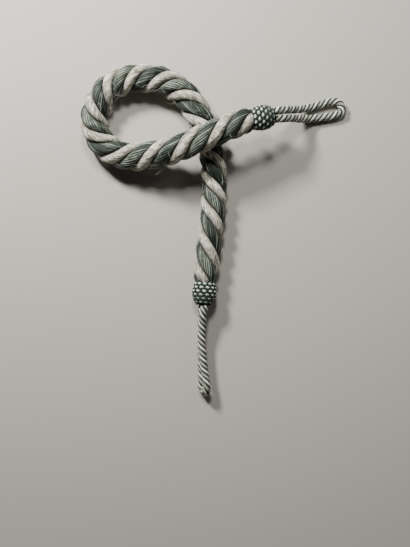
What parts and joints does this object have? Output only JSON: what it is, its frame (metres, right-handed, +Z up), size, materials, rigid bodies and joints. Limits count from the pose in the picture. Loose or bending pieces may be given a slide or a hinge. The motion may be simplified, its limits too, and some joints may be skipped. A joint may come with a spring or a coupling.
{
  "type": "curtain tieback rope with woven end knots and cord hanging loops",
  "caption": "Thick twisted curtain tieback rope in cream and grey-green, lying in a loose ring, with a woven knot and a thin cord hanging loop at each end.",
  "frame": {"origin": "under the middle of the box, on the surface that the tieback lies on", "axes": "+Z up from that surface; +Y from the straight far end towards the ring; +X towards the near knot's loop"},
  "size_m": [0.2402, 0.299, 0.0481],
  "materials": {
    "rope_yarn": "matt cream cotton strands and silky grey-green strands",
    "knot_yarn": "dark green braid with small pale dashes",
    "loop_cord": "silky cream and grey-green yarns, twisted"
  },
  "bodies": {
    "root": {"rope": "rope_yarn", "knot_near": "knot_yarn", "knot_far": "knot_yarn", "loop_near": "loop_cord", "loop_far": "loop_cord"}
  },
  "joints": []
}
